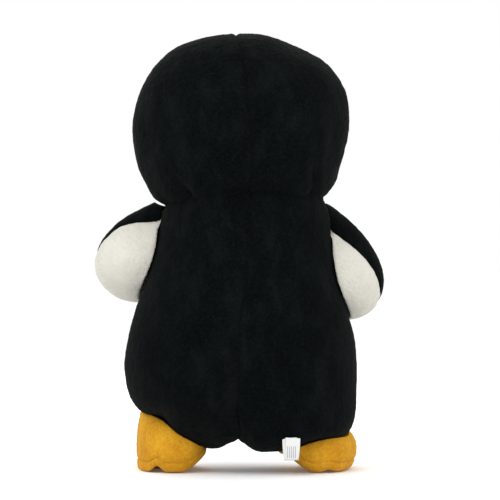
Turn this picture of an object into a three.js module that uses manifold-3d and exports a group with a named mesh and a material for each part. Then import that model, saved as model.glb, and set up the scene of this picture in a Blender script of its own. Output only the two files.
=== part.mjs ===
// A stuffed plush penguin, built the way it is sewn: fabric panels over stuffing, two safety eyes
// with their washers, a padded beak, two flippers, two feet and a care label.
// Millimetres, +Z up. The penguin faces -Y and its own left side is at +X. It stands on the flat
// soles of its feet, and the finished group is centred over the origin.
import * as THREE from "three";
import { mergeVertices } from "three/addons/utils/BufferGeometryUtils.js";
import Module from "manifold-3d";

const wasm = await Module();
wasm.setup();

// ---- driving dimensions -------------------------------------------------------------------------
const FABRIC = 3; // plush cloth with its pile
const GAP = 0.35; // clearance between pieces that touch
const FAR = 400; // reach of the cutting blocks

const HEAD = {
  halfWidth: 99,
  halfDepth: 82,
  widestAt: 314,
  above: 86,
  below: 109,
  crownPower: 2.25,
};

const TORSO = {
  widestAt: 99,
  below: 80,
  basePower: { left: 2.4, right: 4 }, // the left hip is rounder than the right
  seatY: -4, // the hips sit this far in front of the neck
  neckZ: 245,
  topZ: 300,
  // [height, half width, half depth] from the hips to inside the head
  stations: [
    [99, 107, 79],
    [138, 100.5, 77],
    [182, 88, 70],
    [215, 80, 64],
    [245, 76, 61],
    [300, 68, 54],
  ],
  cleft: { depth: 10, halfWidth: 13, fadeFrom: 45, fadeTo: 130 },
};

// The head nods on a ball-shaped neck; its centre is inside the chest.
const NECK = { centreZ: 190, radius: 94, clearance: 1.5, mostNod: 10 };

// Outlines in the XZ plane, cut through the front of the head and of the torso.
const FACE = { bottomZ: 225, jawHalf: 58, cheekHalf: 73, cheekZ: 300, lobeX: 34, lobeZ: 360, peakZ: 330 };
const BELLY = { bottomZ: 44, hipHalf: 66, hipZ: 105, chestHalf: 55, topZ: 275 };

const EYE = { x: 34, z: 322, domeRadius: 8.5, domeHeight: 6, stemRadius: 2, stemLength: 15, setIn: 0.3 };
const WASHER = { radius: 8, thickness: 1.6, depth: 7, clearance: 0.3 };
const BEAK = { z: 297, halfWidth: 27, halfHeight: 15, length: 34, setIn: 10 };

const FLIPPER = {
  halfLength: 59,
  halfWidth: 43,
  halfThickness: 28,
  egg: 0.34,
  rootInset: 11,
  fullness: 0.85,
};
const FLANK_CLEARANCE = 0.8;
const CHEEK_CLEARANCE = 4.8;
// Shoulder: where the root is sewn on. along: root to tip. across: towards the outer, back edge.
const FLIPPER_POSES = {
  left: { shoulder: [45, -20, 235], along: [0.78, -0.1, -0.62], across: [0.4, 0.8, 0.4] },
  right: { shoulder: [-60, -22, 241], along: [-0.54, 0, -0.84], across: [-0.36, 0.9, 0.24] },
};

const FOOT = {
  halfWidth: 32,
  halfLength: 58,
  centreY: -20,
  seamZ: 19,
  instep: 36,
  toeDrop: 24,
  soleDip: 7,
  toe: { angle: 20, cleft: 0.15, width: 9 },
  toeOut: 8,
};
const FOOT_X = { left: 64, right: -72 };
const ANKLE = { y: 30, z: { left: 38, right: 29 }, mostDown: 45, step: 15 };
const HEM_CLEARANCE = 1.2;

const LABEL = { x: -45, y: 52.6, topZ: 29.5, width: 13, length: 20, thickness: 1.2, lean: 3 };

// ---- materials ----------------------------------------------------------------------------------
const cloth = (color) => new THREE.MeshStandardMaterial({ color, roughness: 0.95, metalness: 0 });
const BLACK_PLUSH = cloth(0x0e1112);
const WHITE_PLUSH = cloth(0xe4e2d8);
const YELLOW_PLUSH = cloth(0xdca02c);
const STUFFING = cloth(0xf4f4f0);
const SATIN = new THREE.MeshStandardMaterial({ color: 0xf0f0ee, roughness: 0.5, metalness: 0 });
const GLOSS_BLACK = new THREE.MeshStandardMaterial({ color: 0x050505, roughness: 0.12, metalness: 0 });
const NATURAL_PLASTIC = new THREE.MeshStandardMaterial({ color: 0xd8d8d2, roughness: 0.5, metalness: 0 });

// ---- solids and meshes --------------------------------------------------------------------------
function solidOf(geometry, matrix = new THREE.Matrix4()) {
  const bare = new THREE.BufferGeometry();
  bare.setAttribute("position", geometry.getAttribute("position").clone());
  if (geometry.index) bare.setIndex(geometry.index.clone());
  bare.applyMatrix4(matrix);
  const merged = mergeVertices(bare, 1e-3);
  return new wasm.Manifold(
    new wasm.Mesh({
      numProp: 3,
      vertProperties: merged.attributes.position.array,
      triVerts: new Uint32Array(merged.index.array),
    }),
  );
}

function meshOf(name, solid, material) {
  const made = solid.getMesh();
  const geometry = new THREE.BufferGeometry()
    .setAttribute("position", new THREE.BufferAttribute(new Float32Array(made.vertProperties), 3))
    .setIndex(new THREE.BufferAttribute(new Uint32Array(made.triVerts), 1));
  geometry.computeVertexNormals();
  const mesh = new THREE.Mesh(geometry, material);
  mesh.name = name;
  return mesh;
}

// A closed surface of rings between two poles: point(u, v) with u around and v from the low pole up.
function closedForm(point, around, along) {
  const positions = [...point(0, 0)];
  for (let j = 1; j < along; j++) {
    for (let i = 0; i < around; i++) positions.push(...point(i / around, j / along));
  }
  positions.push(...point(0, 1));
  const top = positions.length / 3 - 1;
  const at = (i, j) => 1 + (j - 1) * around + (i % around);
  const index = [];
  for (let i = 0; i < around; i++) {
    index.push(0, at(i + 1, 1), at(i, 1));
    for (let j = 1; j < along - 1; j++) {
      index.push(at(i, j), at(i + 1, j), at(i + 1, j + 1));
      index.push(at(i, j), at(i + 1, j + 1), at(i, j + 1));
    }
    index.push(top, at(i, along - 1), at(i + 1, along - 1));
  }
  return new THREE.BufferGeometry()
    .setAttribute("position", new THREE.Float32BufferAttribute(positions, 3))
    .setIndex(index);
}

const block = (x, y, z, size) =>
  solidOf(new THREE.BoxGeometry(...size), new THREE.Matrix4().makeTranslation(x, y, z));
const leftOf = (x) => block(x + FAR / 2, 0, 0, [FAR, 2 * FAR, 4 * FAR]);
const rightOf = (x) => block(x - FAR / 2, 0, 0, [FAR, 2 * FAR, 4 * FAR]);
const ball = (centre, radius) =>
  solidOf(new THREE.SphereGeometry(radius, 32, 16), new THREE.Matrix4().makeTranslation(...centre));

// A solid turned about the line along X through (y, z).
const turnedAbout = (solid, y, z, degrees) =>
  solid.translate([0, -y, -z]).rotate([degrees, 0, 0]).translate([0, y, z]);
const nodded = (solid, degrees) => turnedAbout(solid, 0, NECK.centreZ, degrees);

// An outline in X and Z, pushed through everything in front of the plane y = 0.
function frontCutter(shape) {
  const geometry = new THREE.ExtrudeGeometry(shape, { depth: FAR, bevelEnabled: false, curveSegments: 7 });
  return solidOf(geometry, new THREE.Matrix4().makeRotationX(Math.PI / 2));
}

// The part of a shell inside a cutter, and the part outside it with a seam's clearance around it.
function panelAndRest(shell, outline) {
  return [shell.intersect(frontCutter(outline(0))), shell.subtract(frontCutter(outline(GAP)))];
}

// ---- head ---------------------------------------------------------------------------------------
const power = (value, exponent) => Math.sign(value) * Math.abs(value) ** exponent;

function headForm(inset) {
  const point = (u, v) => {
    const turn = 2 * Math.PI * u;
    const rise = Math.PI * (v - 0.5);
    const exponent = rise > 0 ? 2 / HEAD.crownPower : 1;
    const reach = power(Math.cos(rise), exponent);
    const height = (rise > 0 ? HEAD.above : HEAD.below) - inset;
    return [
      (HEAD.halfWidth - inset) * reach * Math.cos(turn),
      (HEAD.halfDepth - inset) * reach * Math.sin(turn),
      HEAD.widestAt + height * power(Math.sin(rise), exponent),
    ];
  };
  return solidOf(closedForm(point, 26, 11));
}

// Two white lobes over the eyes with a dark peak between them, open at the neck.
function faceOutline(grow) {
  const { bottomZ, jawHalf, cheekHalf, cheekZ, lobeX, lobeZ, peakZ } = FACE;
  const side = cheekHalf + grow;
  const shape = new THREE.Shape();
  shape.moveTo(-jawHalf - grow, bottomZ - grow);
  shape.lineTo(jawHalf + grow, bottomZ - grow);
  shape.quadraticCurveTo(side, cheekZ - 30, side, cheekZ);
  shape.bezierCurveTo(side, cheekZ + 36, lobeX + 22, lobeZ + grow, lobeX, lobeZ + grow);
  shape.quadraticCurveTo(lobeX - 26, lobeZ + grow, 0, peakZ + grow);
  shape.quadraticCurveTo(26 - lobeX, lobeZ + grow, -lobeX, lobeZ + grow);
  shape.bezierCurveTo(-lobeX - 22, lobeZ + grow, -side, cheekZ + 36, -side, cheekZ);
  shape.quadraticCurveTo(-side, cheekZ - 30, -jawHalf - grow, bottomZ - grow);
  return shape;
}

// The frame of an eye: its origin is on the face's surface and its +Z points out of the face.
function eyeFrame(side) {
  const x = side * EYE.x;
  const dz = EYE.z - HEAD.widestAt;
  const flat = (1 - (dz / HEAD.above) ** HEAD.crownPower) ** (2 / HEAD.crownPower);
  const y = -HEAD.halfDepth * Math.sqrt(flat - (x / HEAD.halfWidth) ** 2);
  const out = new THREE.Vector3(x / HEAD.halfWidth ** 2, y / HEAD.halfDepth ** 2, dz / HEAD.above ** 2);
  const turn = new THREE.Quaternion().setFromUnitVectors(new THREE.Vector3(0, 0, 1), out.normalize());
  return new THREE.Matrix4().compose(new THREE.Vector3(x, y, EYE.z), turn, new THREE.Vector3(1, 1, 1));
}

const lathe = (outline) =>
  new THREE.LatheGeometry(outline.map(([r, z]) => new THREE.Vector2(r, z)), 14).rotateX(Math.PI / 2);

// A domed cap on a stem that goes through the cloth.
function eyeSolid(frame) {
  const { domeRadius, domeHeight, stemRadius, stemLength, setIn } = EYE;
  const outline = [
    [0, -stemLength],
    [stemRadius, -stemLength],
    [stemRadius, setIn],
    [domeRadius, setIn],
  ];
  for (const angle of [30, 60]) {
    const a = THREE.MathUtils.degToRad(angle);
    outline.push([domeRadius * Math.cos(a), setIn + domeHeight * Math.sin(a)]);
  }
  outline.push([0, setIn + domeHeight]);
  return solidOf(lathe(outline), frame);
}

function washerSolid(frame) {
  const inner = EYE.stemRadius + WASHER.clearance;
  const low = -WASHER.depth - WASHER.thickness;
  const ring = [
    [inner, low],
    [WASHER.radius, low],
    [WASHER.radius, -WASHER.depth],
    [inner, -WASHER.depth],
    [inner, low],
  ];
  return solidOf(lathe(ring), frame);
}

// The hole that an eye and its washer need through the face and into the stuffing.
function eyeHole(frame) {
  const stem = EYE.stemRadius + GAP;
  const wide = WASHER.radius + GAP;
  const outline = [
    [0, -EYE.stemLength - 1],
    [stem, -EYE.stemLength - 1],
    [stem, -WASHER.depth - WASHER.thickness - GAP],
    [wide, -WASHER.depth - WASHER.thickness - GAP],
    [wide, -WASHER.depth + GAP],
    [stem, -WASHER.depth + GAP],
    [stem, EYE.domeHeight],
    [0, EYE.domeHeight],
  ];
  return solidOf(lathe(outline), frame);
}

// A rounded, slightly flattened cone whose root is trimmed to the face.
function beakForm(inset) {
  const point = (u, v) => {
    const turn = 2 * Math.PI * u;
    const rise = Math.PI * (v - 0.5);
    const reach = Math.cos(rise) ** 0.9;
    return [
      (BEAK.halfWidth - inset) * reach * Math.cos(turn),
      (inset - BEAK.length) * Math.sin(rise),
      (BEAK.halfHeight - inset) * reach * Math.sin(turn),
    ];
  };
  const root = -HEAD.halfDepth + BEAK.setIn;
  return solidOf(closedForm(point, 18, 8), new THREE.Matrix4().makeTranslation(0, root, BEAK.z));
}

function headPieces() {
  const group = new THREE.Group();
  const outer = headForm(0);
  const socket = ball([0, 0, NECK.centreZ], NECK.radius + NECK.clearance);
  const shell = outer.subtract(headForm(FABRIC)).subtract(socket);
  const [face, cap] = panelAndRest(shell, faceOutline);
  let stuffing = headForm(FABRIC + GAP).subtract(socket);
  let facePanel = face;
  for (const [side, name] of [[1, "left"], [-1, "right"]]) {
    const frame = eyeFrame(side);
    facePanel = facePanel.subtract(eyeHole(frame));
    stuffing = stuffing.subtract(eyeHole(frame));
    // The dome's underside is moulded to the face around its stem.
    const eye = eyeSolid(frame).subtract(outer.subtract(eyeHole(frame)));
    group.add(meshOf(`eye_${name}`, eye, GLOSS_BLACK));
    group.add(meshOf(`eye_washer_${name}`, washerSolid(frame), NATURAL_PLASTIC));
  }
  group.add(meshOf("head_back_left", cap.intersect(leftOf(GAP / 2)), BLACK_PLUSH));
  group.add(meshOf("head_back_right", cap.intersect(rightOf(-GAP / 2)), BLACK_PLUSH));
  group.add(meshOf("face_panel", facePanel, WHITE_PLUSH));
  group.add(meshOf("head_stuffing", stuffing, STUFFING));

  const layer = (inset) => beakForm(inset).subtract(headForm(-GAP - inset));
  const beakShell = layer(0).subtract(layer(FABRIC));
  const half = (sign) => block(0, 0, BEAK.z + (sign * (FAR + GAP)) / 2, [FAR, FAR, FAR]);
  group.add(meshOf("beak_upper", beakShell.intersect(half(1)), YELLOW_PLUSH));
  group.add(meshOf("beak_lower", beakShell.intersect(half(-1)), YELLOW_PLUSH));
  group.add(meshOf("beak_stuffing", layer(FABRIC + GAP), STUFFING));
  return group;
}

// ---- torso --------------------------------------------------------------------------------------
const smooth = THREE.MathUtils.smoothstep;

function torsoForm(inset) {
  const { widestAt, below, basePower, seatY, neckZ, stations, cleft, topZ } = TORSO;
  const flank = new THREE.CatmullRomCurve3(stations.map(([z, w, d]) => new THREE.Vector3(w, d, z)));
  const baseShare = 0.42;
  const topShare = 0.94;
  const ring = (v, turn) => {
    if (v < baseShare) {
      const angle = (v / baseShare) * (Math.PI / 2);
      const towardsLeft = smooth(Math.cos(turn), -0.5, 0.5);
      const exponent = 2 / THREE.MathUtils.lerp(basePower.right, basePower.left, towardsLeft);
      const reach = Math.sin(angle) ** exponent;
      const z = widestAt - (below - inset) * Math.cos(angle) ** exponent;
      return [(stations[0][1] - inset) * reach, (stations[0][2] - inset) * reach, z];
    }
    const share = Math.min(1, (v - baseShare) / (topShare - baseShare));
    const at = flank.getPoint(share);
    const closing = v > topShare ? (1 - v) / (1 - topShare) : 1;
    return [(at.x - inset) * closing, (at.y - inset) * closing, Math.min(at.z, topZ - inset)];
  };
  const point = (u, v) => {
    const turn = 2 * Math.PI * u;
    const [halfWidth, halfDepth, z] = ring(v, turn);
    const centreY = seatY * (1 - smooth(z, widestAt, neckZ));
    const x = halfWidth * Math.cos(turn);
    const y = centreY + halfDepth * Math.sin(turn);
    // The centre back seam pulls the seat into two lobes, and runs under it to the front.
    const onSeam = y > 0 || z < cleft.fadeFrom ? 1 - smooth(z, cleft.fadeFrom, cleft.fadeTo) : 0;
    const pull = cleft.depth * onSeam * Math.exp(-((x / cleft.halfWidth) ** 2));
    const inward = new THREE.Vector3(-x, centreY - y, widestAt - z).normalize().multiplyScalar(pull);
    return [x + inward.x, y + inward.y, z + inward.z];
  };
  return solidOf(closedForm(point, 24, 13));
}

function bellyOutline(grow) {
  const { bottomZ, hipHalf, hipZ, chestHalf, topZ } = BELLY;
  const low = bottomZ - grow;
  const hip = hipHalf + grow;
  const chest = chestHalf + grow;
  const shape = new THREE.Shape();
  shape.moveTo(0, low);
  shape.bezierCurveTo(hip * 0.7, low, hip, hipZ - 35, hip, hipZ);
  shape.bezierCurveTo(hip, hipZ + 60, chest, topZ - 90, chest, topZ);
  shape.lineTo(-chest, topZ);
  shape.bezierCurveTo(-chest, topZ - 90, -hip, hipZ + 60, -hip, hipZ);
  shape.bezierCurveTo(-hip, hipZ - 35, -hip * 0.7, low, 0, low);
  return shape;
}

function torsoPieces() {
  const group = new THREE.Group();
  const neckBall = ball([0, 0, NECK.centreZ], NECK.radius);
  // The neck ball trims only what is above its own middle.
  const keep = neckBall.add(block(0, 0, NECK.centreZ - FAR / 2, [FAR, FAR, FAR]));
  const shell = torsoForm(0).subtract(torsoForm(FABRIC)).intersect(keep);
  const [belly, back] = panelAndRest(shell, bellyOutline);
  group.add(meshOf("torso_back_left", back.intersect(leftOf(GAP / 2)), BLACK_PLUSH));
  group.add(meshOf("torso_back_right", back.intersect(rightOf(-GAP / 2)), BLACK_PLUSH));
  group.add(meshOf("belly_panel", belly, WHITE_PLUSH));
  group.add(meshOf("torso_stuffing", torsoForm(FABRIC + GAP).intersect(keep), STUFFING));
  return group;
}

// ---- flippers -----------------------------------------------------------------------------------
// Local frame: +X from root to tip, +Y across to the outer edge, +Z out of the dark side.
function flipperForm(inset) {
  const { halfLength, halfWidth, halfThickness, egg, rootInset, fullness } = FLIPPER;
  const point = (u, v) => {
    const turn = 2 * Math.PI * u;
    const rise = Math.PI * (v - 0.5);
    const reach = Math.cos(rise) ** fullness;
    return [
      halfLength - rootInset + (halfLength - inset) * Math.cos(turn) * reach,
      (halfWidth - inset) * Math.sin(turn) * (1 + egg * Math.cos(turn)) * reach,
      (halfThickness - inset) * Math.sin(rise),
    ];
  };
  return solidOf(closedForm(point, 18, 7));
}

function flipperPieces(name) {
  const { shoulder, along, across } = FLIPPER_POSES[name];
  const group = new THREE.Group();
  const x = new THREE.Vector3(...along).normalize();
  const dark = new THREE.Vector3(...along).cross(new THREE.Vector3(...across)).normalize();
  if (name === "right") dark.negate(); // the dark side looks forwards on both
  const y = dark.clone().cross(x);
  const place = new THREE.Matrix4().makeBasis(x, y, dark).setPosition(...shoulder);
  // Each layer is pressed in by the flank, and by the cheek at its lowest nod.
  const layer = (inset) =>
    flipperForm(inset)
      .transform(place.elements)
      .subtract(torsoForm(-FLANK_CLEARANCE - inset))
      .subtract(nodded(headForm(-CHEEK_CLEARANCE - inset), NECK.mostNod))
      .subtract(headForm(-CHEEK_CLEARANCE - inset));
  const half = (sign) => block(0, 0, (sign * (FAR + GAP)) / 2, [FAR, FAR, FAR]).transform(place.elements);
  const shell = layer(0).subtract(layer(FABRIC));
  group.add(meshOf(`flipper_${name}_outer`, shell.intersect(half(1)), BLACK_PLUSH));
  group.add(meshOf(`flipper_${name}_inner`, shell.intersect(half(-1)), WHITE_PLUSH));
  group.add(meshOf(`flipper_${name}_stuffing`, layer(FABRIC + GAP), STUFFING));
  return group;
}

// ---- feet ---------------------------------------------------------------------------------------
// Local frame: origin on the floor under the foot's middle, toes towards -Y.
function footForm(inset) {
  const { halfWidth, halfLength, seamZ, instep, toeDrop, soleDip, toe } = FOOT;
  const point = (u, v) => {
    const turn = 2 * Math.PI * u;
    const rise = Math.PI * (v - 0.5);
    const reach = Math.cos(rise) ** 0.7;
    // Two clefts between three toes, each at one angle from straight ahead.
    const fromToe = THREE.MathUtils.radToDeg(Math.atan2(Math.cos(turn), -Math.sin(turn)));
    const lobes = 1 - toe.cleft * Math.exp(-(((Math.abs(fromToe) - toe.angle) / toe.width) ** 2));
    const x = (halfWidth - inset) * power(Math.cos(turn), 0.8) * reach * lobes;
    const y = (halfLength - inset) * power(Math.sin(turn), 0.85) * reach * lobes;
    const top = instep - toeDrop * smooth(-y, 0, halfLength);
    const height = rise > 0 ? top : seamZ + soleDip;
    return [x, y, seamZ + (height - inset) * power(Math.sin(rise), rise > 0 ? 1 : 0.8)];
  };
  return solidOf(closedForm(point, 36, 7)).trimByPlane([0, 0, 1], inset);
}

function footPieces(name) {
  const group = new THREE.Group();
  const toeOut = THREE.MathUtils.degToRad(name === "left" ? FOOT.toeOut : -FOOT.toeOut);
  const place = new THREE.Matrix4()
    .makeTranslation(FOOT_X[name], FOOT.centreY, 0)
    .multiply(new THREE.Matrix4().makeRotationZ(toeOut));
  const local = (inset) => footForm(inset).transform(place.elements);

  // The seat presses into the foot. The hollow leaves room for every angle of the ankle.
  const seat = torsoForm(-HEM_CLEARANCE);
  let pressed = seat;
  for (let angle = ANKLE.step; angle <= ANKLE.mostDown; angle += ANKLE.step) {
    pressed = pressed.add(turnedAbout(seat, ANKLE.y, ANKLE.z[name], -angle));
  }
  const shell = local(0).subtract(local(FABRIC)).subtract(pressed);
  const half = (sign) => block(0, 0, FOOT.seamZ + (sign * (FAR + GAP)) / 2, [2 * FAR, 2 * FAR, FAR]);
  group.add(meshOf(`foot_${name}_top`, shell.intersect(half(1)), YELLOW_PLUSH));
  group.add(meshOf(`foot_${name}_sole`, shell.intersect(half(-1)), YELLOW_PLUSH));
  group.add(meshOf(`foot_${name}_stuffing`, local(FABRIC + GAP).subtract(pressed), STUFFING));
  return group;
}

// ---- care label ---------------------------------------------------------------------------------
// A folded satin tab that hangs out of the seam above the right foot.
function labelPiece() {
  const { x, y, topZ, width, length, thickness, lean } = LABEL;
  const shape = new THREE.Shape();
  shape.moveTo(0, 0);
  shape.quadraticCurveTo(lean, -length / 2, lean * 0.6, -length);
  shape.lineTo(lean * 0.6 + thickness, -length);
  shape.quadraticCurveTo(lean + thickness, -length / 2, thickness, 0);
  shape.lineTo(0, 0);
  const geometry = new THREE.ExtrudeGeometry(shape, { depth: width, bevelEnabled: false, curveSegments: 5 });
  const stand = new THREE.Matrix4().makeBasis(
    new THREE.Vector3(0, 1, 0),
    new THREE.Vector3(0, 0, 1),
    new THREE.Vector3(1, 0, 0),
  );
  const mesh = meshOf("care_label", solidOf(geometry, stand), SATIN);
  mesh.position.set(x - width / 2, y, topZ);
  return mesh;
}

// ---- the penguin --------------------------------------------------------------------------------
const penguin = new THREE.Group();
penguin.add(torsoPieces(), headPieces(), labelPiece());
for (const name of ["left", "right"]) {
  penguin.add(flipperPieces(name), footPieces(name));
}

const box = new THREE.Box3().setFromObject(penguin);
penguin.position.set(-(box.min.x + box.max.x) / 2, -(box.min.y + box.max.y) / 2, -box.min.z);

export default penguin;
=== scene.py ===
"""The looks of a stuffed plush penguin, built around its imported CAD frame.

Each stuffed form is one closed surface. It is cut along its sewing lines into the cloth panels that it is
made of, the seams are drawn in, and the stuffing inside is a lumpy form of its own.
Shapes are worked out in millimetres around the CAD part's own centre line and placed in metres.
"""

import math

import bmesh
import bpy
import numpy as np
from mathutils import Matrix, Vector, noise


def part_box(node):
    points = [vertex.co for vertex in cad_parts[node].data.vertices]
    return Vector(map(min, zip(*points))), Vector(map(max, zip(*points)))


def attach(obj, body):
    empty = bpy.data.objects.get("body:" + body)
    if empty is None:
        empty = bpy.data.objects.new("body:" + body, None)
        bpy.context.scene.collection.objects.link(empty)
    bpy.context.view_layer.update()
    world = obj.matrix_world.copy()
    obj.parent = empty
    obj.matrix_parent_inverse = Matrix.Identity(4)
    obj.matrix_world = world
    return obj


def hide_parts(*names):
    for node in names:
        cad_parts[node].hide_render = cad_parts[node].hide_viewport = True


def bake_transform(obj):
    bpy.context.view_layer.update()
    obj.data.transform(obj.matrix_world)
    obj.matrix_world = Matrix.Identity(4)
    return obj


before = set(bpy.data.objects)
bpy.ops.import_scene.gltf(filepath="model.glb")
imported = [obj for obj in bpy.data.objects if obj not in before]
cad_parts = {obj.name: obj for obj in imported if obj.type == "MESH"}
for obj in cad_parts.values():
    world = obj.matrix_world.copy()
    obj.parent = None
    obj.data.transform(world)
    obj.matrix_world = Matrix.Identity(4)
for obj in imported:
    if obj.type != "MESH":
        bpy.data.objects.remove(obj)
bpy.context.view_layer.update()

MM = 0.001
CORE_LOW, CORE_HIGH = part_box("head_stuffing")
CENTRE = np.array([(CORE_LOW[0] + CORE_HIGH[0]) / 2, (CORE_LOW[1] + CORE_HIGH[1]) / 2, 0.0])

# ---- driving sizes, in millimetres --------------------------------------------------------------
CLOTH = 2.4
HEAD = {"half": (99.0, 82.0), "widest": 314.0, "above": 86.0, "below": 109.0, "crown": 2.25}
HEAD_RADIUS = 88.0
# The torso at each height: half its width, half its depth, and how far it leans to its left.
TORSO_Z = [99, 120, 144, 177, 209, 245, 285]
TORSO_WIDTH = [106.3, 103.8, 97.6, 88.2, 80.8, 76.0, 73.0]
TORSO_DEPTH = [79, 78.5, 76.5, 72, 69, 68, 67]
TORSO_LEAN = [0, 0, 0, -1.8, -3, -3, -3]
TORSO_RADIUS = 76.0
TORSO_TOP = 280.0
# The seat: its height, how square it is on the left and on the right, and how far forward it sits.
BASE = {"height": 80.0, "left": 2.4, "right": 5.3, "forward": 4.0}
# Shares of the torso's grid that go to the seat, and to everything below its flat top.
SEAT_SHARE = 0.42
SIDE_SHARE = 0.96
# The neck: the ball that the head nods on, its socket, and how far forward the head nods.
NECK_Z = 190.0
BALL_RADIUS = 93.0
SOCKET_RADIUS = 96.5
MOST_NOD = math.radians(10)

# Sewing lines down the middle of the back: height against distance to the penguin's left.
HEAD_SEAM = [(250, -8), (280, -11), (330, -8), (365, -2), (399, 4.6)]
TORSO_SEAM = [(20, 3.5), (83, 1.8), (129, 0.9), (202, -6.4), (254, -8.2)]
# Short darts up from the neck at the back, from (x, z) to (x, z).
DARTS = [((46, 250), (69, 281)), ((-65, 250), (-66, 281))]

HEAD_GRID = (330, 220)
TORSO_GRID = (330, 250)
EYE = {"out": 34.0, "height": 322.0, "radius": 8.5, "dome": 6.0, "stem": 2.0, "length": 14.5}
BEAK = {"half": 27.0, "thick": 15.0, "reach": 34.0, "y": -72.0, "z": 297.0, "droop": 3.0}
LABEL_TOP = 34.5

# Soft dents, negative, and bulges: where (x, z), how wide, and how far out.
HEAD_DENTS = [((-98, 350), 26, 1.6), ((95, 345), 30, -2.2), ((-52, 392), 22, -3.2), ((-96, 285), 24, -2.0)]
# Where the feet press into the seat: (x, z), how wide and high, and how deep.
FOOT_HOLLOWS = [((79, 39), (15, 17), 11.0), ((-72, 20), (24, 13), 7.5)]


# ---- numbers ------------------------------------------------------------------------------------
def smoothstep(value, start, end):
    t = np.clip((value - start) / (end - start), 0, 1)
    return t * t * (3 - 2 * t)


def mix(a, b, share):
    return a + (b - a) * share


def curve(at, knots, values):
    """A smooth curve through the values at the knots."""
    knots = np.array(knots, float)
    values = np.array(values, float)
    slopes = np.gradient(values, knots)
    at = np.clip(at, knots[0], knots[-1])
    i = np.clip(np.searchsorted(knots, at) - 1, 0, len(knots) - 2)
    gap = knots[i + 1] - knots[i]
    t = (at - knots[i]) / gap
    rise = t * t * (3 - 2 * t)
    bend = t * (1 - t)
    tangent = bend * ((1 - t) * slopes[i] - t * slopes[i + 1]) * gap
    return values[i] + (values[i + 1] - values[i]) * rise + tangent


def lumps(points, size, seed):
    """Smooth noise from -1 to 1 at each point. size is one length, or one for each axis."""
    scaled = points / np.array(size, float) + seed * 17.31
    return np.array([noise.noise(Vector(p)) for p in scaled])


def to_segments(points, line):
    """The distance of each (x, z) from an open line of (x, z) points."""
    line = np.array(line, float)
    start = line[:-1]
    span = line[1:] - start
    t = ((points[:, None] - start) * span).sum(-1) / (span**2).sum(-1)
    nearest = start + np.clip(t, 0, 1)[..., None] * span
    return np.sqrt(((points[:, None] - nearest) ** 2).sum(-1)).min(1)


def outline_field(points, outline):
    """Signed distance of (x, z) from a closed outline, positive inside."""
    loop = np.array(outline + outline[:1], float)
    x, z = points[:, 0], points[:, 1]
    inside = np.zeros(len(points), bool)
    for (x0, z0), (x1, z1) in zip(loop[:-1], loop[1:]):
        if z0 != z1:
            crosses = (z0 > z) != (z1 > z)
            inside ^= crosses & (x < (x1 - x0) * (z - z0) / (z1 - z0) + x0)
    return np.where(inside, 1.0, -1.0) * to_segments(points, loop)


def bezier(*knots, steps=14):
    """Points along one quadratic or cubic curve, without its last point."""
    points = []
    for t in np.arange(steps) / steps:
        level = [np.array(k, float) for k in knots]
        while len(level) > 1:
            level = [mix(a, b, t) for a, b in zip(level, level[1:])]
        points.append(tuple(level[0]))
    return points


def mirrored(half):
    """A closed outline from its right half, which runs from the bottom middle to the top middle."""
    return half + [(-x, z) for x, z in reversed(half) if x > 0.01]


# ---- forms --------------------------------------------------------------------------------------
def closed_grid(point, around, along):
    """A closed surface of rings between two poles. point takes arrays of u, around, and v, along."""
    u, v = np.meshgrid(np.arange(around) / around, np.arange(1, along) / along)
    body = point(u.ravel(), v.ravel())
    ends = point(np.zeros(2), np.array([0.0, 1.0]))
    points = np.vstack([body, ends])
    low, high = len(points) - 2, len(points) - 1
    faces = []
    for j in range(along - 2):
        for i in range(around):
            k = (i + 1) % around
            row, up = j * around, (j + 1) * around
            faces.append((row + i, row + k, up + k, up + i))
    last = (along - 2) * around
    for i in range(around):
        k = (i + 1) % around
        faces.append((low, k, i))
        faces.append((high, last + i, last + k))
    return points, faces


def head_point(u, v):
    """The head's plain form: an oval with a flattened crown."""
    turn = 2 * math.pi * u
    rise = math.pi * (v - 0.5)
    exponent = np.where(rise > 0, 2 / HEAD["crown"], 1.0)
    reach = np.maximum(np.cos(rise), 0) ** exponent
    height = np.where(rise > 0, HEAD["above"], HEAD["below"])
    lift = np.sign(rise) * np.abs(np.sin(rise)) ** exponent
    width, depth = HEAD["half"]
    x = width * reach * np.cos(turn)
    y = depth * reach * np.sin(turn)
    return np.stack([x, y, HEAD["widest"] + height * lift], 1)


def head_field(p):
    """About how far, in millimetres, each point is outside the head."""
    width, depth = HEAD["half"]
    dz = p[:, 2] - HEAD["widest"]
    power = np.where(dz > 0, HEAD["crown"], 2.0)
    height = np.where(dz > 0, HEAD["above"], HEAD["below"])
    reach = np.hypot(p[:, 0] / width, p[:, 1] / depth)
    size = (reach**power + np.abs(dz / height) ** power) ** (1 / power)
    return (size - 1) * HEAD_RADIUS


def torso_middle(z):
    """How far behind the part's centre line the torso's middle lies."""
    return -BASE["forward"] * (1 - smoothstep(z, TORSO_Z[0], 245))


def torso_lean(z):
    """How far the torso's middle leans to the penguin's left."""
    return curve(z, TORSO_Z, TORSO_LEAN)


def foot_hollow(p):
    """How far the feet press into the seat."""
    depth = np.zeros(len(p))
    for (x, z), (width, height), most in FOOT_HOLLOWS:
        depth += most * np.exp(-(((p[:, 0] - x) / width) ** 2) - ((p[:, 2] - z) / height) ** 2)
    return depth


def base_power(x, y):
    """How square the seat is: rounder on the left, squarer on the right."""
    toward_left = x / np.maximum(np.hypot(x, y), 1e-6)
    return mix(BASE["right"], BASE["left"], smoothstep(toward_left, -0.5, 0.5))


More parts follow.
